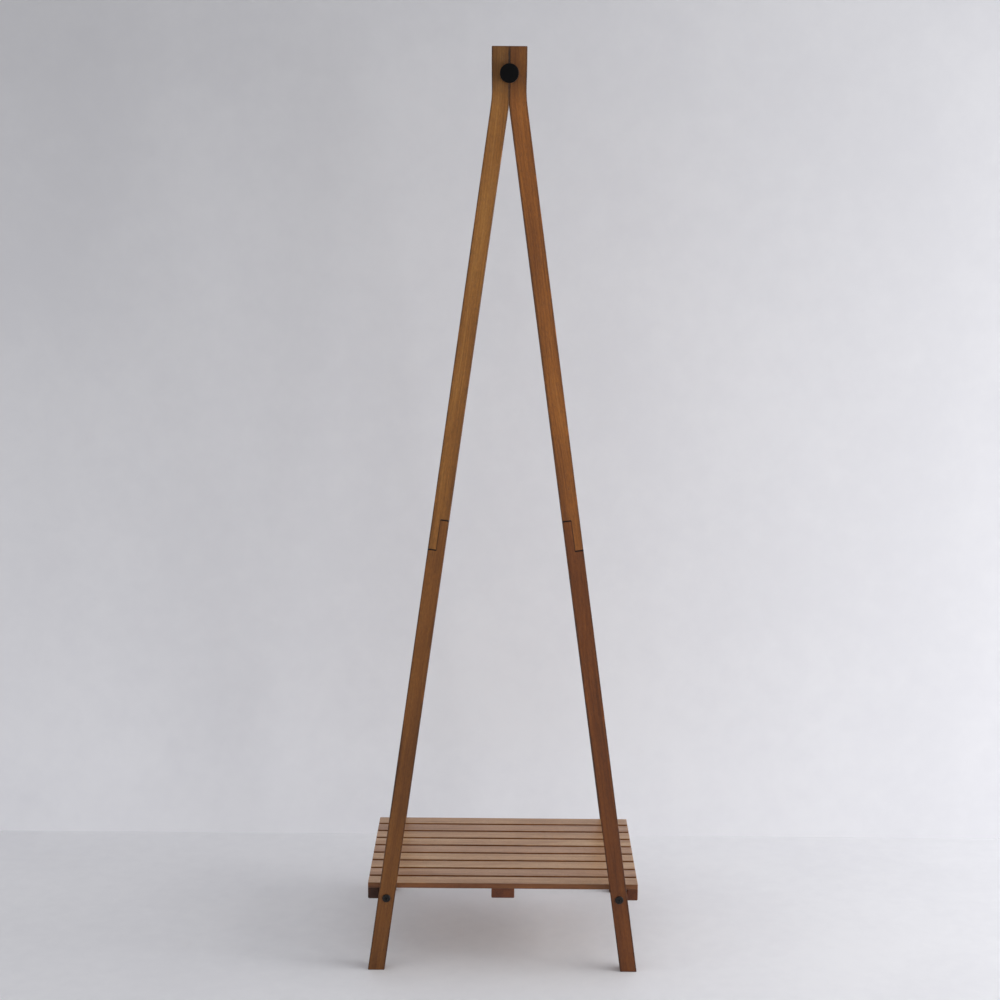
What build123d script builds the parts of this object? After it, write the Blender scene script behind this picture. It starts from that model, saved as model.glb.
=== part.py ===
from build123d import *
import math
import os

# Standing coat rack: two wooden A-frames joined by a black steel hanging rail
# at the top and by two wooden stretchers near the feet. A slatted shelf panel
# drops over the stretchers. Millimetres. +X right, +Y from the near A-frame to
# the far one (along the rail), +Z up. Origin on the floor, under the centre.

os.makedirs("parts", exist_ok=True)

# ---------------------------------------------------------------- dimensions
# A-frames
height = 1650.0            # floor to the top of the blocks
foot_half_spread = 246.0   # centre plane to the outer corner of a foot
leg_slope = 0.1385         # sideways run per unit of height
leg_width = 30.0           # leg section in the plane of the A-frame
leg_depth = 24.0           # leg section along the rail
frame_gap = 356.0          # clear distance between the two A-frames
block_half = 30.0          # half width of the top block
waist_half = 28.8          # half width where the block meets the legs
waist_start = 1632.0       # the block begins to draw in here
bend_radius = 190.0        # outer, hollow side of the bend
inner_radius = 60.0        # where the two inner faces part
edge_round = 1.4           # eased long edges
seam_round = 0.8           # finer easing along the centre seam
foot_round = 1.0

# half-lap joints between upper and lower legs
lap_centre = 812.5
lap_length = 55.0
lap_gap = 0.9              # open joint at each shoulder of the lap
lap_ease = 0.4             # easing along the lap's edges
lap_bolt_offset = 14.0     # bolts either side of the lap's centre
connector_head = 14.0
connector_head_thick = 2.0
connector_recess = 2.2
connector_shank = 6.0
connector_sleeve = 8.6
connector_clear = 6.6
sleeve_clear = 8.9

# hanging rail
rail_d = 32.0
rail_wall = 1.5
rail_z = 1605.0
rail_proud = 18.0          # past the outer face of each block, cap included
cap_thick = 3.0
cap_plug_d = 28.8
cap_plug_len = 12.0

# dowels across the top seam
seam_dowel_d = 8.0
seam_dowel_len = 36.0
seam_dowel_z = (1635.5, 1571.5)

# stretchers and their fasteners
stretcher_x = 211.5
stretcher_w = 20.0
stretcher_h = 30.0
shelf_under = 148.0        # underside of the slats, top of the stretchers
bolt_z = 139.0
dowel_z = 127.0
bolt_head_d = 15.0
bolt_head_thick = 2.4
bolt_len = 60.0
bolt_d = 6.0
bolt_clear = 6.6
socket_af = 4.0
socket_depth = 1.9
barrel_d = 10.0
barrel_len = 14.0
barrel_in = 30.0           # from the stretcher's end
dowel_d = 6.0
dowel_len = 30.0
dowel_in_leg = 12.0

# shelf panel
slat_count = 9
slat_len = 494.0
slat_w = 33.0
slat_pitch = 39.5
slat_t = 10.0
side_batten_w = 20.0
side_batten_h = 21.0
centre_batten_w = 42.0
centre_batten_h = 18.0
screw_head_d = 7.0
screw_d = 3.4
screw_clear = 3.7
screw_pilot = 3.5
screw_grip = 6.5           # screw's reach into a slat

# ---------------------------------------------------------------- derived
leg_angle = math.degrees(math.atan(leg_slope))
ca = math.cos(math.radians(leg_angle))
sa = math.sin(math.radians(leg_angle))
leg_width_level = leg_width / ca          # leg width measured level
half_gap = frame_gap / 2
outer_face = half_gap + leg_depth         # |y| of the outer faces
rail_end = outer_face + rail_proud
shelf_depth = slat_pitch * (slat_count - 1) + slat_w
slat_top = shelf_under + slat_t
frame_mid = half_gap + leg_depth / 2      # |y| of the legs' mid plane
cross_face = 29.4                         # |x| of the cross bolt's flush faces


def outer_x(z):
    """|x| of a leg's outer edge at height z."""
    return foot_half_spread - leg_slope * z


def inner_x(z):
    """|x| of a leg's inner edge at height z."""
    return outer_x(z) - leg_width_level


def mid_x(z):
    """|x| of a leg's centre line at height z."""
    return outer_x(z) - leg_width_level / 2


# bend of the outer edge, where the leg line meets the waist of the block
bend_z = (foot_half_spread - waist_half) / leg_slope
# height where the inner faces of the two legs part
part_z = (foot_half_spread - leg_width_level) / leg_slope
# lap shoulders, square to the leg, as offsets from the lap's centre point
lap_x = mid_x(lap_centre)
hl = lap_length / 2
hw = leg_width / 2


def lap_point(along, across):
    """Point of the lap in the A-frame's plane (x for the right leg).

    along runs up the leg, across runs outwards from its centre line."""
    return (lap_x - sa * along + ca * across, lap_centre + ca * along + sa * across)


frames = (("near", 1), ("far", -1))
sides = (("left", -1), ("right", 1))


# ---------------------------------------------------------------- upper legs
for end, ey in frames:
    # profile plane on the leg's face nearer +Y; extrusion goes towards -Y
    face_y = -half_gap if end == "near" else outer_face
    for side, sx in sides:
        with BuildPart() as upper_leg:
            with BuildSketch(Plane.XZ.offset(-face_y)):
                with BuildLine():
                    a = lap_point(lap_gap - hl, hw)   # outer toe of the tongue
                    b = lap_point(lap_gap - hl, 0)    # inner toe, on the centre line
                    c = lap_point(lap_gap + hl, 0)    # root of the tongue
                    d = lap_point(lap_gap + hl, -hw)  # shoulder, inner corner
                    Line((sx * block_half, height), (sx * block_half, waist_start))
                    TangentArc(
                        (sx * block_half, waist_start), (sx * waist_half, bend_z),
                        tangent=(0, -1),
                    )
                    pts = [
                        (waist_half, bend_z), a, b, c, d,
                        (0.0, part_z), (0.0, height), (block_half, height),
                    ]
                    Polyline(*[(sx * x, z) for x, z in pts])
                make_face()
            extrude(amount=leg_depth)
            upright = upper_leg.edges().filter_by(Axis.Y)

            def corner(x, z):
                return upright.sort_by_distance((sx * x, face_y - leg_depth / 2, z))[0]

            fillet(corner(waist_half, bend_z), radius=bend_radius)
            upright = upper_leg.edges().filter_by(Axis.Y)
            fillet(corner(0.0, part_z), radius=inner_radius)
            upright = upper_leg.edges().filter_by(Axis.Y)
            fillet(corner(block_half, height), radius=edge_round)

            # eased edges round the two broad faces, apart from the lap
            broad = upper_leg.faces().filter_by(Axis.Y)
            lap_low = lap_centre + hl + 4.0
            ring = [
                e for f in broad for e in f.edges()
                if e.center().Z > lap_low
            ]
            seam = [e for e in ring if abs(e.center().X) < 0.01]
            rest = [
                e for e in ring
                if abs(e.center().X) >= 0.01
            ]
            fillet(rest, radius=edge_round)
            seam = [
                e for f in upper_leg.faces().filter_by(Axis.Y) for e in f.edges()
                if abs(e.center().X) < 0.01 and e.center().Z > part_z
            ]
            if seam:
                chamfer(seam, length=seam_round)
            # the lap's own edges on the two broad faces
            lap_edges = [
                e for f in upper_leg.faces().filter_by(Axis.Y) for e in f.edges()
                if e.center().Z < lap_low
            ]
            chamfer(lap_edges, length=lap_ease)

            # half-round seat for the rail
            with BuildSketch(Plane.XZ.offset(-face_y)):
                with Locations((0, rail_z)):
                    Circle(rail_d / 2 + 0.05)
            extrude(amount=leg_depth, mode=Mode.SUBTRACT)
            # blind holes for the seam dowels, opening at the seam
            with BuildSketch(Plane.YZ):
                with Locations(*[(ey * -frame_mid, z) for z in seam_dowel_z]):
                    Circle(seam_dowel_d / 2 + 0.05)
            extrude(amount=sx * (seam_dowel_len / 2 + 0.5), mode=Mode.SUBTRACT)
            # cross bolt: plain hole with a flat recess for the head or flange
            with BuildSketch(Plane.YZ):
                with Locations((ey * -frame_mid, rail_z)):
                    Circle(sleeve_clear / 2)
            extrude(amount=sx * (block_half + 5), mode=Mode.SUBTRACT)
            with BuildSketch(Plane.YZ.offset(sx * (cross_face - connector_head_thick - 0.1))):
                with Locations((ey * -frame_mid, rail_z)):
                    Circle(connector_head / 2 + 0.2)
            extrude(amount=sx * 10, mode=Mode.SUBTRACT)
            # two bolt holes through the tongue, recessed on the outer side
            for along in (-lap_bolt_offset, lap_bolt_offset):
                px, pz = lap_point(along, -hw - 5)
                with BuildSketch(
                    Plane(origin=(sx * px, ey * -frame_mid, pz),
                          x_dir=(0, 1, 0), z_dir=(sx * ca, 0, sa))
                ):
                    Circle(sleeve_clear / 2)
                extrude(amount=leg_width + 10, mode=Mode.SUBTRACT)
                px, pz = lap_point(along, hw - connector_recess)
                with BuildSketch(
                    Plane(origin=(sx * px, ey * -frame_mid, pz),
                          x_dir=(0, 1, 0), z_dir=(sx * ca, 0, sa))
                ):
                    Circle(connector_head / 2 + 0.2)
                extrude(amount=10, mode=Mode.SUBTRACT)
        name = f"{end}_{side}_upper_leg"
        upper_leg.part.label = name
        export_step(upper_leg.part, f"parts/{name}.step")

# ---------------------------------------------------------------- lower legs
for end, ey in frames:
    face_y = -half_gap if end == "near" else outer_face
    inner_face_y = ey * -half_gap
    for side, sx in sides:
        with BuildPart() as lower_leg:
            with BuildSketch(Plane.XZ.offset(-face_y)):
                with BuildLine():
                    pts = [
                        (foot_half_spread, 0.0),
                        lap_point(-hl, hw),
                        lap_point(-hl, 0),
                        lap_point(hl, 0),
                        lap_point(hl, -hw),
                        (inner_x(0.0), 0.0),
                    ]
                    Polyline(*[(sx * x, z) for x, z in pts], close=True)
                make_face()
            extrude(amount=leg_depth)
            lap_low = lap_centre - hl - 4.0
            ring = [
                e for f in lower_leg.faces().filter_by(Axis.Y) for e in f.edges()
                if 1.0 < e.center().Z < lap_centre - 60
            ]
            fillet(ring, radius=edge_round)
            lap_edges = [
                e for f in lower_leg.faces().filter_by(Axis.Y) for e in f.edges()
                if e.center().Z > lap_low
            ]
            chamfer(lap_edges, length=lap_ease)
            sole = lower_leg.faces().sort_by(Axis.Z)[0]
            chamfer(sole.edges(), length=foot_round)
            # bolt hole right through, dowel hole from the inner face
            with BuildSketch(Plane.XZ.offset(-face_y)):
                with Locations((sx * stretcher_x, bolt_z)):
                    Circle(bolt_clear / 2)
            extrude(amount=leg_depth, mode=Mode.SUBTRACT)
            with BuildSketch(Plane.XZ.offset(-inner_face_y)):
                with Locations((sx * stretcher_x, dowel_z)):
                    Circle(dowel_d / 2 + 0.05)
            extrude(amount=ey * (dowel_in_leg + 0.5), mode=Mode.SUBTRACT)
            # two bolt holes through the tongue, recessed on the inner side
            for along in (-lap_bolt_offset, lap_bolt_offset):
                px, pz = lap_point(along, hw + 5)
                with BuildSketch(
                    Plane(origin=(sx * px, ey * -frame_mid, pz),
                          x_dir=(0, 1, 0), z_dir=(-sx * ca, 0, -sa))
                ):
                    Circle(sleeve_clear / 2)
                extrude(amount=leg_width + 10, mode=Mode.SUBTRACT)
                px, pz = lap_point(along, -hw + connector_recess)
                with BuildSketch(
                    Plane(origin=(sx * px, ey * -frame_mid, pz),
                          x_dir=(0, 1, 0), z_dir=(-sx * ca, 0, -sa))
                ):
                    Circle(connector_head / 2 + 0.2)
                extrude(amount=10, mode=Mode.SUBTRACT)
        name = f"{end}_{side}_lower_leg"
        lower_leg.part.label = name
        export_step(lower_leg.part, f"parts/{name}.step")

# ---------------------------------------------------------------- lap joint bolts
# flat-head connector bolt from the outer side, sleeve nut from the inner side
with BuildPart() as lap_bolts:
    for end, ey in frames:
        for side, sx in sides:
            for along in (-lap_bolt_offset, lap_bolt_offset):
                px, pz = lap_point(along, hw - connector_recess + connector_head_thick)
                seat = Plane(origin=(sx * px, ey * -frame_mid, pz),
                             x_dir=(0, 1, 0), z_dir=(-sx * ca, 0, -sa))
                with BuildSketch(seat):
                    Circle(connector_head / 2)
                extrude(amount=connector_head_thick)
                with BuildSketch(seat):
                    Circle(connector_shank / 2)
                extrude(amount=connector_head_thick + 20.0)
                with BuildSketch(seat):
                    RegularPolygon(socket_af / 2, 6, major_radius=False)
                extrude(amount=1.6, mode=Mode.SUBTRACT)
    chamfer(
        lap_bolts.edges().filter_by(GeomType.CIRCLE)
        .filter_by(lambda e: abs(e.radius - connector_head / 2) < 0.01),
        length=0.4,
    )
lap_bolts.part.label = "lap_bolts"
export_step(lap_bolts.part, "parts/lap_bolts.step")

with BuildPart() as lap_sleeve_nuts:
    for end, ey in frames:
        for side, sx in sides:
            for along in (-lap_bolt_offset, lap_bolt_offset):
                px, pz = lap_point(along, -hw + connector_recess - connector_head_thick)
                seat = Plane(origin=(sx * px, ey * -frame_mid, pz),
                             x_dir=(0, 1, 0), z_dir=(sx * ca, 0, sa))
                with BuildSketch(seat):
                    Circle(connector_head / 2)
                extrude(amount=connector_head_thick)
                with BuildSketch(seat):
                    Circle(connector_sleeve / 2)
                extrude(amount=connector_head_thick + 16.0)
                with BuildSketch(seat.offset(4.0)):
                    Circle(connector_shank / 2 + 0.05)
                extrude(amount=20.0, mode=Mode.SUBTRACT)
                with BuildSketch(seat):
                    RegularPolygon(socket_af / 2, 6, major_radius=False)
                extrude(amount=1.6, mode=Mode.SUBTRACT)
    chamfer(
        lap_sleeve_nuts.edges().filter_by(GeomType.CIRCLE)
        .filter_by(lambda e: abs(e.radius - connector_head / 2) < 0.01),
        length=0.4,
    )
lap_sleeve_nuts.part.label = "lap_sleeve_nuts"
export_step(lap_sleeve_nuts.part, "parts/lap_sleeve_nuts.step")

# ---------------------------------------------------------------- top joint
with BuildPart() as seam_dowels:
    for end, ey in frames:
        for z in seam_dowel_z:
            with BuildSketch(Plane.YZ.offset(-seam_dowel_len / 2)):
                with Locations((ey * -frame_mid, z)):
                    Circle(seam_dowel_d / 2)
            extrude(amount=seam_dowel_len)
    chamfer(seam_dowels.edges().filter_by(GeomType.CIRCLE), length=0.8)
seam_dowels.part.label = "seam_dowels"
export_step(seam_dowels.part, "parts/seam_dowels.step")

# cross bolt through the block and the rail, head on the +X side
with BuildPart() as rail_cross_bolts:
    for end, ey in frames:
        seat = Plane(origin=(cross_face, ey * -frame_mid, rail_z),
                     x_dir=(0, 1, 0), z_dir=(-1, 0, 0))
        with BuildSketch(seat):
            Circle(connector_head / 2)
        extrude(amount=connector_head_thick)
        with BuildSketch(seat):
            Circle(connector_shank / 2)
        extrude(amount=cross_face + 16.0)
        with BuildSketch(seat):
            RegularPolygon(socket_af / 2, 6, major_radius=False)
        extrude(amount=1.6, mode=Mode.SUBTRACT)
    chamfer(
        rail_cross_bolts.edges().filter_by(GeomType.CIRCLE)
        .filter_by(lambda e: abs(e.radius - connector_head / 2) < 0.01),
        length=0.4,
    )
rail_cross_bolts.part.label = "rail_cross_bolts"
export_step(rail_cross_bolts.part, "parts/rail_cross_bolts.step")

with BuildPart() as rail_sleeve_nuts:
    for end, ey in frames:
        seat = Plane(origin=(-cross_face, ey * -frame_mid, rail_z),
                     x_dir=(0, 1, 0), z_dir=(1, 0, 0))
        with BuildSketch(seat):
            Circle(connector_head / 2)
        extrude(amount=connector_head_thick)
        with BuildSketch(seat):
            Circle(connector_sleeve / 2)
        extrude(amount=cross_face - 6.0)
        with BuildSketch(seat.offset(5.0)):
            Circle(connector_shank / 2 + 0.05)
        extrude(amount=cross_face, mode=Mode.SUBTRACT)
        with BuildSketch(seat):
            RegularPolygon(socket_af / 2, 6, major_radius=False)
        extrude(amount=1.6, mode=Mode.SUBTRACT)
    chamfer(
        rail_sleeve_nuts.edges().filter_by(GeomType.CIRCLE)
        .filter_by(lambda e: abs(e.radius - connector_head / 2) < 0.01),
        length=0.4,
    )
rail_sleeve_nuts.part.label = "rail_sleeve_nuts"
export_step(rail_sleeve_nuts.part, "parts/rail_sleeve_nuts.step")

# ---------------------------------------------------------------- hanging rail
tube_half = rail_end - cap_thick
with BuildPart() as hanging_rail:
    with BuildSketch(Plane.XZ.offset(-tube_half)):
        with Locations((0, rail_z)):
            Circle(rail_d / 2)
            Circle(rail_d / 2 - rail_wall, mode=Mode.SUBTRACT)
    extrude(amount=2 * tube_half)
    # cross holes: wide for the sleeve at -X, narrow for the bolt at +X
    with BuildSketch(Plane.YZ):
        with Locations(*[(ey * -frame_mid, rail_z) for end, ey in frames]):
            Circle(sleeve_clear / 2)
    extrude(amount=-rail_d, mode=Mode.SUBTRACT)
    with BuildSketch(Plane.YZ):
        with Locations(*[(ey * -frame_mid, rail_z) for end, ey in frames]):
            Circle(connector_clear / 2)
    extrude(amount=rail_d, mode=Mode.SUBTRACT)
hanging_rail.part.label = "hanging_rail"
export_step(hanging_rail.part, "parts/hanging_rail.step")

for end, ey in frames:
    # turned profile: flat disc with a rounded rim, hollow ribbed plug behind it
    with BuildPart() as end_cap:
        with BuildSketch(Plane(origin=(0, ey * -tube_half, rail_z),
                               x_dir=(1, 0, 0), z_dir=(0, -ey, 0))) as disc:
            Circle(rail_d / 2)
        extrude(amount=cap_thick)
        rim = end_cap.edges().filter_by(GeomType.CIRCLE).sort_by(
            Axis.Y, reverse=(ey < 0))[0]
        fillet(rim, radius=1.3)
        with BuildSketch(Plane(origin=(0, ey * -tube_half, rail_z),
                               x_dir=(1, 0, 0), z_dir=(0, ey, 0))):
            Circle(cap_plug_d / 2)
        extrude(amount=cap_plug_len)
        with BuildSketch(Plane(origin=(0, ey * -(tube_half - 1.0), rail_z),
                               x_dir=(1, 0, 0), z_dir=(0, ey, 0))):
            Circle(cap_plug_d / 2 - 2.4)
        extrude(amount=cap_plug_len, mode=Mode.SUBTRACT)
    name = f"{end}_rail_end_cap"
    end_cap.part.label = name
    export_step(end_cap.part, f"parts/{name}.step")

# ---------------------------------------------------------------- stretchers
for side, sx in sides:
    with BuildPart() as stretcher:
        with BuildSketch(Plane.XZ.offset(-half_gap)):
            with Locations((sx * stretcher_x, shelf_under - stretcher_h / 2)):
                Rectangle(stretcher_w, stretcher_h)
        extrude(amount=frame_gap)
        fillet(stretcher.edges().filter_by(Axis.Y), radius=edge_round)
        for end, ey in frames:
            with BuildSketch(Plane(origin=(sx * stretcher_x, ey * -half_gap, 0),
                                   x_dir=(1, 0, 0), z_dir=(0, ey, 0))):
                with Locations((0, ey * -bolt_z)):
                    Circle(bolt_clear / 2)
            extrude(amount=bolt_len - leg_depth + 4, mode=Mode.SUBTRACT)
            with BuildSketch(Plane(origin=(sx * stretcher_x, ey * -half_gap, 0),
                                   x_dir=(1, 0, 0), z_dir=(0, ey, 0))):
                with Locations((0, ey * -dowel_z)):
                    Circle(dowel_d / 2 + 0.05)
            extrude(amount=dowel_len - dowel_in_leg + 0.5, mode=Mode.SUBTRACT)
            # bore for the barrel nut, from the stretcher's inner side
            with BuildSketch(Plane.YZ.offset(sx * (stretcher_x - stretcher_w / 2))):
                with Locations((ey * -(half_gap - barrel_in), bolt_z)):
                    Circle(barrel_d / 2 + 0.05)
            extrude(amount=sx * (stretcher_w / 2 + barrel_len / 2 + 0.2),
                    mode=Mode.SUBTRACT)
    name = f"{side}_stretcher"
    stretcher.part.label = name
    export_step(stretcher.part, f"parts/{name}.step")

# bolts: low round head with a hex socket, plain shank standing for the thread
with BuildPart() as stretcher_bolts:
    for end, ey in frames:
        for side, sx in sides:
            face = Plane(origin=(sx * stretcher_x, ey * -outer_face, bolt_z),
                         x_dir=(1, 0, 0), z_dir=(0, -ey, 0))
            with BuildSketch(face):
                Circle(bolt_head_d / 2)
            extrude(amount=bolt_head_thick)
            with BuildSketch(face):
                Circle(bolt_d / 2)
            extrude(amount=-bolt_len)
            with BuildSketch(face.offset(bolt_head_thick)):
                RegularPolygon(socket_af / 2, 6, major_radius=False)
            extrude(amount=-socket_depth, mode=Mode.SUBTRACT)
    rims = (
        stretcher_bolts.edges().filter_by(GeomType.CIRCLE)
        .filter_by(lambda e: abs(e.radius - bolt_head_d / 2) < 0.01)
        .filter_by(lambda e: abs(e.center().Y) > outer_face + 0.1)
    )
    fillet(rims, radius=1.5)
    tips = (
        stretcher_bolts.edges().filter_by(GeomType.CIRCLE)
        .filter_by(lambda e: abs(e.center().Y) < outer_face - bolt_len + 0.1)
    )
    chamfer(tips, length=0.9)
stretcher_bolts.part.label = "stretcher_bolts"
export_step(stretcher_bolts.part, "parts/stretcher_bolts.step")

with BuildPart() as barrel_nuts:
    for end, ey in frames:
        for side, sx in sides:
            y = ey * -(half_gap - barrel_in)
            with BuildSketch(Plane.YZ.offset(sx * stretcher_x - barrel_len / 2)):
                with Locations((y, bolt_z)):
                    Circle(barrel_d / 2)
            extrude(amount=barrel_len)
            with BuildSketch(Plane.XZ.offset(-y - barrel_d)):
                with Locations((sx * stretcher_x, bolt_z)):
                    Circle(bolt_d / 2 + 0.05)
            extrude(amount=2 * barrel_d, mode=Mode.SUBTRACT)
            # slot that shows the nut's turn in its bore
            with BuildSketch(Plane.YZ.offset(sx * (stretcher_x - barrel_len / 2))):
                with Locations((y, bolt_z)):
                    Rectangle(barrel_d + 2, 1.4)
            extrude(amount=sx * 1.4, mode=Mode.SUBTRACT)
barrel_nuts.part.label = "stretcher_barrel_nuts"
export_step(barrel_nuts.part, "parts/stretcher_barrel_nuts.step")

with BuildPart() as stretcher_dowels:
    for end, ey in frames:
        for side, sx in sides:
            with BuildSketch(Plane(
                origin=(sx * stretcher_x, ey * -(half_gap + dowel_in_leg), dowel_z),
                x_dir=(1, 0, 0), z_dir=(0, ey, 0),
            )):
                Circle(dowel_d / 2)
            extrude(amount=dowel_len)
    chamfer(stretcher_dowels.edges().filter_by(GeomType.CIRCLE), length=0.7)
stretcher_dowels.part.label = "stretcher_dowels"
export_step(stretcher_dowels.part, "parts/stretcher_dowels.step")

# ---------------------------------------------------------------- shelf panel
slat_y = [slat_pitch * (i - (slat_count - 1) / 2) for i in range(slat_count)]
side_batten_x = slat_len / 2 - side_batten_w / 2
batten_rows = (-side_batten_x, 0.0, side_batten_x)

for i, y in enumerate(slat_y):
    with BuildPart() as slat:
        with BuildSketch(Plane.XY.offset(shelf_under)):
            with Locations((0, y)):
                Rectangle(slat_len, slat_w)
        extrude(amount=slat_t)
        fillet(slat.edges().filter_by(Axis.Z), radius=1.2)
        fillet(slat.faces().sort_by(Axis.Z)[-1].edges(), radius=1.2)
        chamfer(slat.faces().sort_by(Axis.Z)[0].edges(), length=0.4)
        # pilot holes from below
        with BuildSketch(Plane.XY.offset(shelf_under)):
            with Locations(*[(x, y) for x in batten_rows]):
                Circle(screw_pilot / 2)
        extrude(amount=screw_grip + 0.4, mode=Mode.SUBTRACT)
    name = f"slat_{i + 1}"
    slat.part.label = name
    export_step(slat.part, f"parts/{name}.step")

for name, x, w, h in (
    ("left_batten", -side_batten_x, side_batten_w, side_batten_h),
    ("centre_batten", 0.0, centre_batten_w, centre_batten_h),
    ("right_batten", side_batten_x, side_batten_w, side_batten_h),
):
    with BuildPart() as batten:
        with BuildSketch(Plane.XZ.offset(-shelf_depth / 2)):
            with Locations((x, shelf_under - h / 2)):
                Rectangle(w, h)
        extrude(amount=shelf_depth)
        low = [
            e for e in batten.edges().filter_by(Axis.Y)
            if e.center().Z < shelf_under - h + 1
        ]
        fillet(low, radius=2.4)
        ends = [
            e for f in batten.faces().filter_by(Axis.Y) for e in f.edges()
            if e.center().Z < shelf_under - 0.1
        ]
        chamfer(ends, length=0.8)
        # screw holes, countersunk from below
        with Locations(*[Location((x, y, shelf_under - h), (180, 0, 0)) for y in slat_y]):
            CounterSinkHole(
                radius=screw_clear / 2,
                counter_sink_radius=screw_head_d / 2 + 0.5,
                depth=h,
                counter_sink_angle=90,
            )
    batten.part.label = name
    export_step(batten.part, f"parts/{name}.step")

# countersunk wood screws, driven from below; threads left out
for name, rows, h in (
    ("side_batten_screws", (-side_batten_x, side_batten_x), side_batten_h),
    ("centre_batten_screws", (0.0,), centre_batten_h),
):
    z0 = shelf_under - h + 0.2            # flat of the head, just inside the batten
    z1 = shelf_under + screw_grip         # tip
    rh = screw_head_d / 2 - 0.1
    rs = screw_d / 2
    with BuildPart() as screw:
        with BuildSketch(Plane.XZ):
            with BuildLine():
                Polyline(
                    (0, z0), (rh, z0), (rh, z0 + 0.3), (rs, z0 + 0.3 + rh - rs),
                    (rs, z1 - 4.0), (0.2, z1), (0, z1), close=True,
                )
            make_face()
        revolve(axis=Axis.Z)
        with BuildSketch(Plane.XY.offset(z0)):
            Rectangle(3.8, 0.9)
            Rectangle(0.9, 3.8)
        extrude(amount=1.3, mode=Mode.SUBTRACT)
    with BuildPart() as screws:
        with Locations(*[(x, y, 0) for x in rows for y in slat_y]):
            add(screw.part)
    screws.part.label = name
    export_step(screws.part, f"parts/{name}.step")
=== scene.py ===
import math

import bpy
from mathutils import Matrix, Vector


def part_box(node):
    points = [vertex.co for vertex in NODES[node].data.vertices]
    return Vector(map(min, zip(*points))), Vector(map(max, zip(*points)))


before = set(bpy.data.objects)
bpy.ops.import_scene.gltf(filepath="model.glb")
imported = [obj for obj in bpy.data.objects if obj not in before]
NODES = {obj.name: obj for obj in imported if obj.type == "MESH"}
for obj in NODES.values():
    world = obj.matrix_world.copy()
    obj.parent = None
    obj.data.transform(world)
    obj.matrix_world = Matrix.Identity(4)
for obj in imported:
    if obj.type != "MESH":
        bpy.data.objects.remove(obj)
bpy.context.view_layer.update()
SC = bpy.context.scene

# ---------------------------------------------------------------------------
# Shape facts the materials need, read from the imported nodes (metres)
# ---------------------------------------------------------------------------
lo_foot, hi_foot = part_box("near_right_lower_leg")
lo_up, hi_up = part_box("near_right_upper_leg")
FOOT_X = hi_foot.x                        # outer corner of a foot
TOP_Z = hi_up.z
LEG_D = hi_foot.y - lo_foot.y             # leg size along the rail
LEG_W = 0.030                             # leg size across, in the A-frame
SLOPE = 0.1385
LEVEL_W = LEG_W * math.sqrt(1 + SLOPE * SLOPE)
MID0 = FOOT_X - LEVEL_W / 2               # |x| of a leg's centre line at z = 0


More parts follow.
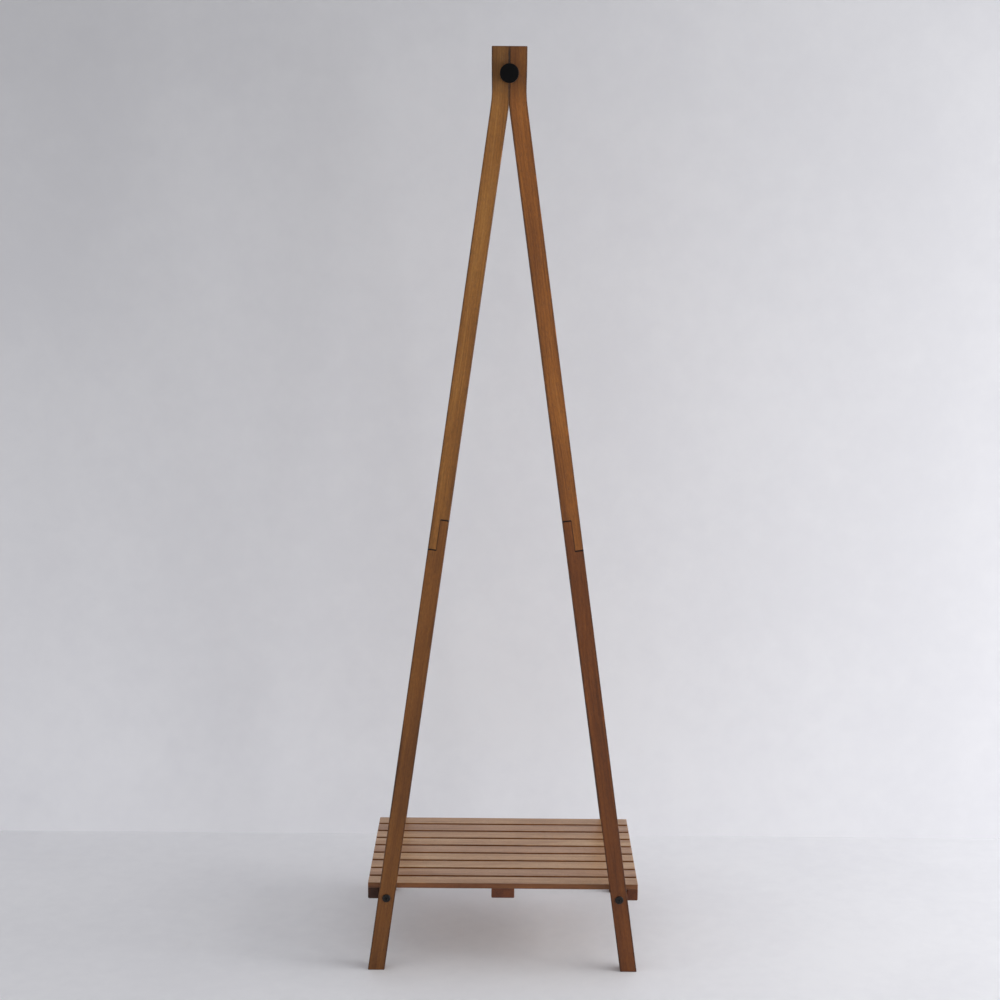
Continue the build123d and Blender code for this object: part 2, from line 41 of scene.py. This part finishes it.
# ---------------------------------------------------------------------------
# Node helpers
# ---------------------------------------------------------------------------
class Tree:
    """Short names for building a node tree."""

    def __init__(self, tree):
        self.t = tree
        self.n = tree.nodes
        self.l = tree.links

    def new(self, kind, **kw):
        node = self.n.new(kind)
        for k, v in kw.items():
            setattr(node, k, v)
        return node

    def put(self, socket, value):
        if isinstance(value, bpy.types.NodeSocket):
            self.l.new(value, socket)
        elif value is not None:
            socket.default_value = value

    def math(self, op, a, b=None, c=None, clamp=False):
        n = self.new("ShaderNodeMath", operation=op, use_clamp=clamp)
        self.put(n.inputs[0], a)
        if b is not None:
            self.put(n.inputs[1], b)
        if c is not None:
            self.put(n.inputs[2], c)
        return n.outputs[0]

    def add(self, a, b):
        return self.math("ADD", a, b)

    def sub(self, a, b):
        return self.math("SUBTRACT", a, b)

    def mul(self, a, b):
        return self.math("MULTIPLY", a, b)

    def mad(self, a, b, c):
        return self.math("MULTIPLY_ADD", a, b, c)

    def step(self, x, lo, hi, out_lo=0.0, out_hi=1.0):
        """Smooth step of x from lo to hi."""
        n = self.new("ShaderNodeMapRange", interpolation_type="SMOOTHSTEP", clamp=True)
        self.put(n.inputs["Value"], x)
        n.inputs["From Min"].default_value = lo
        n.inputs["From Max"].default_value = hi
        n.inputs["To Min"].default_value = out_lo
        n.inputs["To Max"].default_value = out_hi
        return n.outputs["Result"]

    def remap(self, x, lo, hi, out_lo, out_hi, clamp=True):
        n = self.new("ShaderNodeMapRange", interpolation_type="LINEAR", clamp=clamp)
        self.put(n.inputs["Value"], x)
        for k, v in (("From Min", lo), ("From Max", hi), ("To Min", out_lo), ("To Max", out_hi)):
            n.inputs[k].default_value = v
        return n.outputs["Result"]

    def xyz(self, x, y, z):
        n = self.new("ShaderNodeCombineXYZ")
        for s, v in zip(n.inputs, (x, y, z)):
            self.put(s, v)
        return n.outputs[0]

    def split(self, v):
        n = self.new("ShaderNodeSeparateXYZ")
        self.put(n.inputs[0], v)
        return n.outputs[0], n.outputs[1], n.outputs[2]

    def vmul(self, v, s):
        n = self.new("ShaderNodeVectorMath", operation="MULTIPLY")
        self.put(n.inputs[0], v)
        self.put(n.inputs[1], s)
        return n.outputs[0]

    def vadd(self, v, s):
        n = self.new("ShaderNodeVectorMath", operation="ADD")
        self.put(n.inputs[0], v)
        self.put(n.inputs[1], s)
        return n.outputs[0]

    def noise(self, vec, scale=1.0, detail=2.0, rough=0.5, distortion=0.0, lac=2.0, colour=False):
        n = self.new("ShaderNodeTexNoise", noise_dimensions="3D")
        self.put(n.inputs["Vector"], vec)
        n.inputs["Scale"].default_value = scale
        n.inputs["Detail"].default_value = detail
        n.inputs["Roughness"].default_value = rough
        n.inputs["Lacunarity"].default_value = lac
        n.inputs["Distortion"].default_value = distortion
        return n.outputs["Color"] if colour else n.outputs["Fac"]

    def voronoi(self, vec, scale=1.0, feature="F1", rand=1.0):
        n = self.new("ShaderNodeTexVoronoi", feature=feature)
        self.put(n.inputs["Vector"], vec)
        n.inputs["Scale"].default_value = scale
        n.inputs["Randomness"].default_value = rand
        return n

    def ramp(self, fac, stops, interp="LINEAR"):
        n = self.new("ShaderNodeValToRGB")
        n.color_ramp.interpolation = interp
        el = n.color_ramp.elements
        while len(el) < len(stops):
            el.new(0.5)
        for e, (p, c) in zip(el, stops):
            e.position = p
            e.color = (*c, 1.0) if len(c) == 3 else c
        self.put(n.inputs[0], fac)
        return n.outputs["Color"]

    def mix(self, fac, a, b, mode="MIX"):
        n = self.new("ShaderNodeMix", data_type="RGBA", blend_type=mode)
        self.put(n.inputs[0], fac)
        self.put(n.inputs[6], a if isinstance(a, bpy.types.NodeSocket) else (*a, 1.0))
        self.put(n.inputs[7], b if isinstance(b, bpy.types.NodeSocket) else (*b, 1.0))
        return n.outputs[2]

    def scale_colour(self, col, fac):
        """col times a grey factor."""
        n = self.new("ShaderNodeVectorMath", operation="SCALE")
        self.put(n.inputs[0], col)
        self.put(n.inputs["Scale"], fac)
        return n.outputs[0]

    def bump(self, height, distance, strength=1.0, normal=None):
        n = self.new("ShaderNodeBump")
        n.inputs["Strength"].default_value = strength
        n.inputs["Distance"].default_value = distance
        self.put(n.inputs["Height"], height)
        if normal is not None:
            self.put(n.inputs["Normal"], normal)
        return n.outputs["Normal"]


def new_material(name):
    m = bpy.data.materials.new(name)
    m.use_nodes = True
    m.node_tree.nodes.clear()
    t = Tree(m.node_tree)
    out = t.new("ShaderNodeOutputMaterial")
    bsdf = t.new("ShaderNodeBsdfPrincipled")
    t.l.new(bsdf.outputs[0], out.inputs[0])
    return m, t, bsdf


# ---------------------------------------------------------------------------
# Wood. One solid texture in board coordinates: l along the grain, a and d
# across it, so side faces, end grain and eased edges all agree.
# ---------------------------------------------------------------------------
def srgb(r, g, b):
    f = lambda c: (c / 255 / 12.92) if c / 255 <= 0.04045 else ((c / 255 + 0.055) / 1.055) ** 2.4
    return (f(r), f(g), f(b))


def wood(name, axes, half_a, half_d, seed, light, mid, dark, pith, ring=0.0042,
         rough=0.44, edge_light=0.14, edge_shade=0.30, end_axis=(0, 0, 1), fade=None, streak=1.0,
         joint_shade=None, side_shade_tint=None, crown_shade=None, gloss=0.5, flecks=1.0):
    """axes(t, x, y, z) returns the sockets l, a, d in metres, with a and d zero on
    the board's centre line. light/mid/dark are linear colours; pith is the place of
    the tree's heart in (a, d); seed moves the pattern."""
    m, t, bsdf = new_material(name)
    tc = t.new("ShaderNodeTexCoord")
    x, y, z = t.split(tc.outputs["Object"])
    l, a, d = axes(t, x, y, z)
    s1, s2, s3 = (seed * 1.713) % 7.0, (seed * 0.937) % 5.0, (seed * 2.311) % 3.0
    board = t.xyz(l, a, d)

    # slow wander of the grain along the board
    slow = t.noise(t.vadd(t.vmul(board, (1.9, 9.0, 9.0)), (s1, s2, s3)), detail=2.0, colour=True)
    wx, wy, wz = t.split(slow)
    fine = t.noise(t.vadd(t.vmul(board, (11.0, 60.0, 60.0)), (s2, s3, s1)), detail=2.0)
    aw = t.mad(t.sub(wx, 0.5), 0.034, a)
    aw = t.mad(t.sub(fine, 0.5), 0.0022, aw)
    dw = t.mad(t.sub(wy, 0.5), 0.030, d)

    # growth rings round the heart
    ra = t.sub(aw, pith[0])
    rd = t.sub(dw, pith[1])
    r = t.math("SQRT", t.add(t.mul(ra, ra), t.mul(rd, rd)))
    uneven = t.noise(t.xyz(t.mul(r, 95.0), s1, s2), detail=1.0)
    q = t.mad(uneven, 1.7, t.mul(r, 1.0 / ring))
    q = t.add(q, seed * 0.37)
    saw = t.math("FRACT", q)
    late = t.step(saw, 0.42, 0.93)
    late = t.mul(late, t.step(saw, 1.0, 0.955))       # falls back sharply
    cell = t.math("FLOOR", q)
    ring_tone = t.noise(t.xyz(t.mul(cell, 0.731), s2, s3), scale=3.0, detail=0.0)

    # fibres: long thin streaks, two sizes
    fib1 = t.noise(t.vadd(t.vmul(t.xyz(l, aw, dw), (9.0, 520.0, 520.0)), (s3, s1, s2)),
                   detail=3.0, rough=0.62)
    fib2 = t.noise(t.vadd(t.vmul(t.xyz(l, aw, dw), (34.0, 1900.0, 1900.0)), (s1, s3, s2)),
                   detail=2.0, rough=0.6)
    # pores: short dark dashes, denser in the early wood
    por = t.noise(t.vadd(t.vmul(t.xyz(l, aw, dw), (95.0, 2300.0, 2300.0)), (s2, s1, s3)),
                  detail=1.0, rough=0.5)
    pores = t.step(por, 0.60, 0.70)
    pores = t.mul(pores, t.remap(late, 0.0, 1.0, 1.0, 0.45))
    # wide bands of tone along the board, and a faint ripple across the grain
    band = t.noise(t.vadd(t.vmul(t.xyz(l, aw, dw), (1.3, 75.0, 60.0)), (s1, s1, s3)),
                   detail=2.0, rough=0.55)
    cloud = t.noise(t.vadd(t.vmul(board, (4.2, 22.0, 22.0)), (s3, s2, s2)), detail=3.0, rough=0.5)
    ripple = t.noise(t.vadd(t.vmul(board, (62.0, 30.0, 30.0)), (s2, s2, s1)), detail=1.0)

    # colour
    tone = t.mad(t.sub(band, 0.5), 0.95 * streak, 0.5)
    tone = t.mad(t.sub(cloud, 0.5), 0.95, tone)
    tone = t.mad(t.sub(ring_tone, 0.5), 0.22, tone)
    tone = t.mad(t.sub(fib1, 0.5), 0.75, tone)
    tone = t.mad(late, 0.13, tone)
    tone = t.math("MINIMUM", t.math("MAXIMUM", tone, 0.0), 1.0)
    col = t.ramp(tone, ((0.0, light), (0.5, mid), (1.0, dark)))
    shade = t.mad(t.sub(fib2, 0.5), 0.46, 1.0)
    shade = t.mad(t.sub(ripple, 0.5), 0.10, shade)
    shade = t.mad(pores, -0.38, shade)
    # small dark and light flecks that break the streaks up
    fleck = t.noise(t.vadd(t.vmul(t.xyz(l, aw, dw), (150.0, 400.0, 400.0)), (s3, s2, s1)), detail=2.0, rough=0.6)
    shade = t.mad(t.sub(fleck, 0.5), 0.60 * flecks, shade)
    if fade is not None:
        # the same board is painted darker towards one end
        shade = t.mul(shade, t.remap(l, fade[0], fade[1], fade[2], fade[3]))
    if crown_shade is not None:
        # painted shade: the top block round the rail is painted darker, standing in for the shadow round the rail end
        shade = t.mul(shade, t.step(l, crown_shade[0], crown_shade[1], 1.0, crown_shade[2]))
    if joint_shade is not None:
        # painted shadow and dirt gathered along an open joint
        shade = t.mul(shade, t.mad(joint_shade(t, x, y, z), -0.80, 1.0))
    # eased edges get painted shade, a darker band along them, broken by rubbed spots that are paler and drier
    ea = t.step(t.math("ABSOLUTE", a), half_a - 0.0034, half_a - 0.0006)
    ed = t.step(t.math("ABSOLUTE", d), half_d - 0.0034, half_d - 0.0006)
    edge_wear_and_shade = t.mul(ea, ed)
    rub = t.mul(edge_wear_and_shade, t.step(t.noise(t.vmul(board, (26.0, 90.0, 90.0)), detail=3.0), 0.50, 0.72))
    shade = t.mad(edge_wear_and_shade, -edge_shade, shade)
    shade = t.mad(rub, edge_shade + edge_light, shade)
    # end grain drinks more oil and is darker and rougher
    nx, ny, nz = t.split(tc.outputs["Normal"])
    dot = t.add(t.add(t.mul(nx, end_axis[0]), t.mul(ny, end_axis[1])), t.mul(nz, end_axis[2]))
    endg = t.step(t.math("ABSOLUTE", dot), 0.72, 0.95)
    endpor = t.voronoi(t.vmul(t.xyz(t.mul(l, 0.02), a, d), (1.0, 1.0, 1.0)), scale=1900.0)
    endspot = t.mul(endg, t.step(endpor.outputs["Distance"], 0.30, 0.12))
    shade = t.mad(endg, -0.26, shade)
    shade = t.mad(endspot, -0.30, shade)
    col = t.scale_colour(col, shade)
    if side_shade_tint is not None:
        # painted shade: the long edges of the board are tinted much darker than its top
        side = t.step(t.math("ABSOLUTE", ny), 0.55, 0.90)
        col = t.mix(side, col, t.vmul(col, side_shade_tint))
    t.put(bsdf.inputs["Base Color"], col)

    # finish: thin oil, so a soft sheen broken by pores and wear
    ro = t.mad(t.sub(fib1, 0.5), 0.16, rough)
    ro = t.mad(t.sub(cloud, 0.5), 0.14, ro)
    ro = t.mad(pores, 0.16, ro)
    ro = t.mad(rub, 0.06, ro)
    ro = t.mad(endg, 0.20, ro)
    t.put(bsdf.inputs["Roughness"], t.math("MINIMUM", t.math("MAXIMUM", ro, 0.2), 0.9))
    bsdf.inputs["IOR"].default_value = 1.49
    bsdf.inputs["Specular IOR Level"].default_value = gloss

    h = t.mad(pores, -0.9, t.mul(fib2, 0.55))
    h = t.mad(fib1, 0.45, h)
    h = t.mad(late, 0.30, h)
    nrm = t.bump(h, 0.00016, 0.75)
    # long soft unevenness left by sanding
    wave = t.noise(t.vadd(t.vmul(board, (14.0, 40.0, 40.0)), (s1, s2, s1)), detail=1.0)
    nrm = t.bump(wave, 0.0006, 0.5, nrm)
    t.put(bsdf.inputs["Normal"], nrm)
    return m


def leg_axes(side):
    """Grain follows the leg, and turns upright in the top block."""

    def f(t, x, y, z):
        mid = t.mad(z, -SLOPE, MID0)
        n = t.new("ShaderNodeMath", operation="SMOOTH_MAX")
        t.put(n.inputs[0], mid)
        n.inputs[1].default_value = 0.015
        n.inputs[2].default_value = 0.004
        a = t.sub(t.mul(x, float(side)), n.outputs[0])
        return z, a, y

    return f


LAP_Z = 0.8125
LAP_X = MID0 - SLOPE * LAP_Z
LAP_HALF = 0.0275


def lap_shade_lines(side):
    """Painted shadow mask: 1 along the outline of the half-lap joint of a leg, 0 elsewhere."""
    ca = 1 / math.sqrt(1 + SLOPE * SLOPE)
    sa = SLOPE * ca

    def f(t, x, y, z):
        dx = t.sub(t.mul(x, float(side)), LAP_X)
        dz = t.sub(z, LAP_Z)
        along = t.sub(t.mul(dz, ca), t.mul(dx, sa))
        across = t.mad(dx, ca, t.mul(dz, sa))
        outer = t.step(across, -0.0003, 0.0003)
        low = t.step(t.math("ABSOLUTE", t.add(along, LAP_HALF - 0.00045)), 0.0019, 0.0010)
        high = t.step(t.math("ABSOLUTE", t.sub(along, LAP_HALF + 0.00045)), 0.0019, 0.0010)
        seam = t.step(t.math("ABSOLUTE", across), 0.0011, 0.0004)
        seam = t.mul(seam, t.step(t.math("ABSOLUTE", along), LAP_HALF + 0.001, LAP_HALF))
        ends = t.add(t.mul(low, outer), t.mul(high, t.sub(1.0, outer)))
        return t.math("MAXIMUM", ends, t.mul(seam, 0.85))

    return f


def centred(along, centre):
    """Straight board along an axis (0, 1 or 2) about a centre point."""

    def f(t, x, y, z):
        v = [x, y, z]
        v = [v[i] if i == along else t.sub(v[i], centre[i]) for i in range(3)]
        rest = [i for i in range(3) if i != along]
        return v[along], v[rest[0]], v[rest[1]]

    return f


def shift_y(f, y0):
    def g(t, x, y, z):
        return f(t, x, t.sub(y, y0), z)

    return g


def give(node, material):
    o = NODES[node]
    o.data.materials.clear()
    o.data.materials.append(material)


# colours of the oiled boards (linear)
GOLD = (srgb(163, 112, 52), srgb(139, 89, 36), srgb(102, 62, 23))
GOLD_R = (srgb(171, 110, 47), srgb(145, 87, 33), srgb(106, 59, 20))
BROWN = (srgb(139, 89, 37), srgb(116, 70, 25), srgb(82, 46, 15))
BROWN_R = (srgb(130, 73, 24), srgb(105, 56, 17), srgb(74, 37, 8))
SLAT = (srgb(196, 162, 125), srgb(174, 134, 98), srgb(135, 96, 66))
SLAT_R = (srgb(188, 151, 118), srgb(165, 125, 94), srgb(127, 88, 63))
BATTEN = (srgb(131, 66, 18), srgb(106, 50, 11), srgb(77, 33, 6))
# darker copy of the batten colour for the left batten: painted shade
BATTEN_SHADED = (srgb(92, 52, 20), srgb(74, 38, 13), srgb(53, 25, 7))

pith_side = ((0.055, -0.040), (-0.070, 0.030), (0.020, 0.085), (-0.030, -0.075))
k = 0
for end, ysign in (("near", -1), ("far", 1)):
    for side, sx in (("left", -1), ("right", 1)):
        lo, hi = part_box(f"{end}_{side}_upper_leg")
        y0 = (lo.y + hi.y) / 2
        cols = GOLD if (side == "left") == (end == "near") else GOLD_R
        # upper legs: the top block is painted darker as painted shade
        give(f"{end}_{side}_upper_leg",
             wood(f"wood_{end}_{side}_upper", shift_y(leg_axes(sx), y0), LEG_W / 2, LEG_D / 2,
                  3.1 + 4.7 * k, *cols, pith_side[k], fade=(0.8, 1.55, 0.93, 1.0),
                  joint_shade=lap_shade_lines(sx), crown_shade=(1.545, 1.60, 0.58), gloss=0.35, edge_shade=0.45))
        cols = BROWN if (side == "left") == (end == "near") else BROWN_R
        give(f"{end}_{side}_lower_leg",
             wood(f"wood_{end}_{side}_lower", shift_y(leg_axes(sx), y0), LEG_W / 2, LEG_D / 2,
                  5.9 + 3.3 * k, *cols, pith_side[(k + 2) % 4], fade=(0.0, 0.84, 0.84, 1.03),
                  joint_shade=lap_shade_lines(sx), gloss=0.35, edge_shade=0.45))
        k += 1

for i in range(9):
    lo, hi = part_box(f"slat_{i + 1}")
    c = (lo + hi) / 2
    cols = SLAT if i % 3 != 1 else SLAT_R
    side = -1 if i % 2 else 1
    # slats: the fronts and backs are tinted darker as painted shade
    give(f"slat_{i + 1}",
         wood(f"wood_slat_{i + 1}", centred(0, c), (hi.y - lo.y) / 2, (hi.z - lo.z) / 2,
              11.3 + 2.9 * i, *cols, (0.012 * ((i * 5) % 7 - 3), side * (0.045 + 0.01 * (i % 4))),
              ring=0.0050, rough=0.34, edge_shade=0.18, end_axis=(1, 0, 0), side_shade_tint=(0.47, 0.28, 0.11), flecks=0.45))

for i, nm in enumerate(("left_batten", "centre_batten", "right_batten")):
    lo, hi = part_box(nm)
    c = (lo + hi) / 2
    give(nm, wood(f"wood_{nm}", centred(1, c), (hi.x - lo.x) / 2, (hi.z - lo.z) / 2,
                  41.7 + 3.7 * i, *(BATTEN_SHADED if i == 0 else BATTEN), (0.03 - 0.02 * i, -0.06), end_axis=(0, 1, 0)))
for i, nm in enumerate(("left_stretcher", "right_stretcher")):
    lo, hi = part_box(nm)
    c = (lo + hi) / 2
    give(nm, wood(f"wood_{nm}", centred(1, c), (hi.x - lo.x) / 2, (hi.z - lo.z) / 2,
                  57.1 + 5.1 * i, *BROWN, (-0.04 + 0.05 * i, 0.05), end_axis=(0, 1, 0)))


# ---------------------------------------------------------------------------
# Metal and plastic
# ---------------------------------------------------------------------------
def powder_coat(name, base, rough):
    """Matte powder coat: fine orange peel, a faint bloom and a few rub marks."""
    m, t, bsdf = new_material(name)
    tc = t.new("ShaderNodeTexCoord")
    P = tc.outputs["Object"]
    peel = t.noise(P, scale=1500.0, detail=2.0, rough=0.55)
    soft = t.noise(P, scale=260.0, detail=2.0)
    bloom = t.noise(P, scale=17.0, detail=4.0, rough=0.6)
    x, y, z = t.split(P)
    # hangers polish the top of the rail in short bands
    rubs = t.noise(t.xyz(t.mul(x, 30.0), t.mul(y, 55.0), t.mul(z, 30.0)), detail=3.0)
    top = t.step(z, 1.6135, 1.6205)
    rub = t.mul(top, t.step(rubs, 0.42, 0.68))
    v = t.mad(t.sub(bloom, 0.5), 0.35, 1.0)
    v = t.mad(t.sub(peel, 0.5), 0.20, v)
    v = t.mad(rub, 0.55, v)
    warm = t.mix(bloom, base, tuple(c * 1.25 for c in base))
    t.put(bsdf.inputs["Base Color"], t.scale_colour(warm, v))
    ro = t.mad(t.sub(bloom, 0.5), 0.16, rough)
    ro = t.mad(t.sub(peel, 0.5), 0.12, ro)
    ro = t.mad(rub, -0.15, ro)
    t.put(bsdf.inputs["Roughness"], ro)
    bsdf.inputs["IOR"].default_value = 1.5
    nrm = t.bump(peel, 0.00006, 0.8)
    t.put(bsdf.inputs["Normal"], t.bump(soft, 0.00010, 0.5, nrm))
    return m


def moulded_cap(name, base, rough, centre):
    """Moulded black plastic: spark-eroded grain, faint turned rings on the face, a painted highlight round the rim."""
    m, t, bsdf = new_material(name)
    tc = t.new("ShaderNodeTexCoord")
    P = t.vadd(tc.outputs["Object"], (-centre.x, -centre.y, -centre.z))
    x, y, z = t.split(P)
    r = t.math("SQRT", t.add(t.mul(x, x), t.mul(z, z)))
    ring = t.math("SINE", t.mul(r, 2 * math.pi / 0.00075))
    grain = t.noise(P, scale=2600.0, detail=2.0)
    cloud = t.noise(P, scale=60.0, detail=3.0)
    # painted highlight: the rim of the face is painted paler, standing in for its sheen
    rim_highlight = t.step(r, 0.0143, 0.0156)
    v = t.mad(t.sub(cloud, 0.5), 0.4, 1.0)
    v = t.mad(t.sub(grain, 0.5), 0.25, v)
    v = t.mad(rim_highlight, 0.45, v)
    t.put(bsdf.inputs["Base Color"], t.scale_colour(t.mix(cloud, base, tuple(c * 1.3 for c in base)), v))
    ro = t.mad(t.sub(cloud, 0.5), 0.14, rough)
    ro = t.mad(rim_highlight, -0.08, ro)
    t.put(bsdf.inputs["Roughness"], ro)
    bsdf.inputs["IOR"].default_value = 1.45
    bsdf.inputs["Specular IOR Level"].default_value = 0.11
    nrm = t.bump(grain, 0.00005, 0.7)
    t.put(bsdf.inputs["Normal"], t.bump(ring, 0.00002, 0.35, nrm))
    return m


def black_oxide(name, worn):
    """Blackened steel fasteners with brighter steel where tools and wood rub."""
    m, t, bsdf = new_material(name)
    tc = t.new("ShaderNodeTexCoord")
    P = tc.outputs["Object"]
    spots = t.noise(P, scale=420.0, detail=4.0, rough=0.62)
    fine = t.noise(P, scale=2400.0, detail=2.0)
    cloud = t.noise(P, scale=95.0, detail=3.0)
    wear = t.mul(t.step(spots, 0.60, 0.74), worn)
    base = t.mix(cloud, (0.006, 0.0045, 0.0042), (0.013, 0.0105, 0.0095))
    col = t.mix(wear, base, (0.16, 0.155, 0.15))
    t.put(bsdf.inputs["Base Color"], t.scale_colour(col, t.mad(t.sub(fine, 0.5), 0.3, 1.0)))
    t.put(bsdf.inputs["Metallic"], t.remap(wear, 0.0, 1.0, 0.30, 0.95))
    bsdf.inputs["Specular IOR Level"].default_value = 0.35
    ro = t.mad(t.sub(cloud, 0.5), 0.2, 0.42)
    t.put(bsdf.inputs["Roughness"], t.mad(wear, -0.10, ro))
    t.put(bsdf.inputs["Normal"], t.bump(fine, 0.00003, 0.8))
    return m


def zinc(name):
    """Zinc plate: pale, slightly cloudy and crystalline."""
    m, t, bsdf = new_material(name)
    tc = t.new("ShaderNodeTexCoord")
    P = tc.outputs["Object"]
    vor = t.voronoi(P, scale=850.0)
    cloud = t.noise(P, scale=140.0, detail=4.0, rough=0.6)
    fine = t.noise(P, scale=3000.0, detail=2.0)
    v = t.mad(t.sub(vor.outputs["Distance"], 0.3), 0.25, 1.0)
    v = t.mad(t.sub(cloud, 0.5), 0.35, v)
    base = t.mix(cloud, (0.52, 0.52, 0.50), (0.66, 0.66, 0.67))
    t.put(bsdf.inputs["Base Color"], t.scale_colour(base, v))
    bsdf.inputs["Metallic"].default_value = 1.0
    t.put(bsdf.inputs["Roughness"], t.mad(t.sub(cloud, 0.5), 0.25, 0.38))
    t.put(bsdf.inputs["Normal"], t.bump(fine, 0.00003, 0.6))
    return m


def raw_beech(name):
    """Dowels: pale, tight grained, with the pressed flutes as fine dark lines."""
    m, t, bsdf = new_material(name)
    tc = t.new("ShaderNodeTexCoord")
    P = tc.outputs["Object"]
    f = t.noise(t.vmul(P, (180.0, 180.0, 1600.0)), detail=3.0)
    c = t.noise(P, scale=70.0, detail=2.0)
    col = t.ramp(f, ((0.25, srgb(196, 160, 118)), (0.75, srgb(222, 190, 148))))
    t.put(bsdf.inputs["Base Color"], t.scale_colour(col, t.mad(t.sub(c, 0.5), 0.25, 1.0)))
    t.put(bsdf.inputs["Roughness"], t.mad(t.sub(f, 0.5), 0.2, 0.62))
    t.put(bsdf.inputs["Normal"], t.bump(f, 0.0001, 0.5))
    return m


give("hanging_rail", powder_coat("rail_powder_coat", (0.012, 0.012, 0.0125), 0.48))
for e in ("near", "far"):
    lo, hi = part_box(f"{e}_rail_end_cap")
    give(f"{e}_rail_end_cap", moulded_cap(f"cap_{e}", (0.0018, 0.0018, 0.0019), 0.56, (lo + hi) / 2))
oxide = black_oxide("black_oxide", 0.8)
for nm in ("stretcher_bolts", "lap_bolts", "lap_sleeve_nuts", "rail_cross_bolts", "rail_sleeve_nuts"):
    give(nm, oxide)
zn = zinc("zinc_plate")
for nm in ("stretcher_barrel_nuts", "side_batten_screws", "centre_batten_screws"):
    give(nm, zn)
beech = raw_beech("raw_beech")
for nm in ("seam_dowels", "stretcher_dowels"):
    give(nm, beech)


# ---------------------------------------------------------------------------
# Floor and backdrop (not part of the object)
# ---------------------------------------------------------------------------
def quad(name, pts):
    me = bpy.data.meshes.new(name)
    me.from_pydata(pts, [], [(0, 1, 2, 3)])
    me.update()
    o = bpy.data.objects.new(name, me)
    SC.collection.objects.link(o)
    return o


def stage_material(name, low, high, scale, rough, two_sided_no_painted_shade=True):
    m, t, bsdf = new_material(name)
    tc = t.new("ShaderNodeTexCoord")
    n1 = t.noise(tc.outputs["Object"], scale=scale, detail=5.0, rough=0.6)
    n2 = t.noise(tc.outputs["Object"], scale=scale * 14, detail=3.0, rough=0.6)
    f = t.mad(t.sub(n2, 0.5), 0.5, n1)
    col = t.mix(t.step(f, 0.25, 0.75), low, high)
    if not two_sided_no_painted_shade:
        # painted shade: the wall is painted darker higher up and lighter low down, most of all to the left
        x, y, z = t.split(tc.outputs["Object"])
        wall_shade_fall = t.remap(x, -0.95, 0.95, 0.40, 0.15)
        col = t.scale_colour(col, t.mad(t.sub(0.5, t.remap(z, 0.0, 1.75, 0.0, 1.0)), wall_shade_fall, 0.955))
    t.put(bsdf.inputs["Base Color"], col)
    bsdf.inputs["Roughness"].default_value = rough
    bsdf.inputs["Specular IOR Level"].default_value = 0.25
    if not two_sided_no_painted_shade:
        # one-sided, so views from behind the backdrop still see the object
        geo = t.new("ShaderNodeNewGeometry")
        clear = t.new("ShaderNodeBsdfTransparent")
        mixer = t.new("ShaderNodeMixShader")
        out = [n for n in t.n if n.type == "OUTPUT_MATERIAL"][0]
        t.l.new(geo.outputs["Backfacing"], mixer.inputs[0])
        t.l.new(bsdf.outputs[0], mixer.inputs[1])
        t.l.new(clear.outputs[0], mixer.inputs[2])
        t.l.new(mixer.outputs[0], out.inputs[0])
    return m


WALL_Y = 0.507
floor = quad("floor", [(-9, -9, 0), (9, -9, 0), (9, 9, 0), (-9, 9, 0)])
floor.data.materials.append(stage_material("floor_paint", (0.785, 0.787, 0.815), (0.830, 0.832, 0.855), 2.2, 0.55))
wall = quad("backdrop", [(-9, WALL_Y, 0), (9, WALL_Y, 0), (9, WALL_Y, 6), (-9, WALL_Y, 6)])
wall.data.materials.append(stage_material("wall_paint_with_painted_shade", (0.735, 0.735, 0.765), (0.775, 0.775, 0.800), 1.6, 0.9, False))

# ---------------------------------------------------------------------------
# Light: one very large soft source high on the right, a dim room round it
# ---------------------------------------------------------------------------
world = bpy.data.worlds.new("room")
SC.world = world
world.use_nodes = True
bg = world.node_tree.nodes["Background"]
bg.inputs[0].default_value = (0.985, 0.985, 1.0, 1.0)
bg.inputs[1].default_value = 0.54


def area(name, loc, target, size, power, colour, spread=180.0):
    d = bpy.data.lights.new(name, "AREA")
    d.shape = "RECTANGLE"
    d.size, d.size_y = size
    d.energy = power
    d.color = colour
    d.spread = math.radians(spread)
    o = bpy.data.objects.new(name, d)
    o.location = loc
    o.rotation_mode = "QUATERNION"
    o.rotation_quaternion = (Vector(target) - Vector(loc)).to_track_quat("-Z", "Y")
    SC.collection.objects.link(o)
    return o


area("window", (4.2, -0.4, 1.8), (0.0, 0.0, 0.7), (2.4, 2.4), 94.0, (1.0, 1.0, 1.0))
area("low_window", (3.2, -1.8, 0.9), (0.0, 0.0, 0.3), (2.0, 1.4), 46.0, (1.0, 1.0, 1.0))
area("left_fill", (-3.5, -2.2, 1.5), (0.0, 0.0, 0.7), (2.5, 2.5), 15.0, (1.0, 1.0, 1.0))

# ---------------------------------------------------------------------------
# Camera
# ---------------------------------------------------------------------------
F_PX = 1938.7
cam_d = bpy.data.cameras.new("camera")
cam_d.sensor_fit = "HORIZONTAL"
cam_d.sensor_width = 36.0
cam_d.lens = F_PX / 1000.0 * 36.0
cam_d.clip_start, cam_d.clip_end = 0.05, 60.0
cam = bpy.data.objects.new("camera", cam_d)
SC.collection.objects.link(cam)
pitch, yaw, roll = (math.radians(v) for v in (10.491, -0.126, 0.427))
fwd = Vector((math.sin(yaw) * math.cos(pitch), math.cos(yaw) * math.cos(pitch), -math.sin(pitch)))
right = fwd.cross(Vector((0, 0, 1))).normalized()
up = right.cross(fwd)
r2 = right * math.cos(roll) + up * math.sin(roll)
u2 = -right * math.sin(roll) + up * math.cos(roll)
rot = Matrix((r2, u2, -fwd)).transposed().to_4x4()
cam.matrix_world = Matrix.Translation(Vector((-3.162, -3533.25, 1493.27)) / 1000.0) @ rot
SC.camera = cam
SC.view_settings.view_transform = "Standard"
SC.view_settings.look = "None"
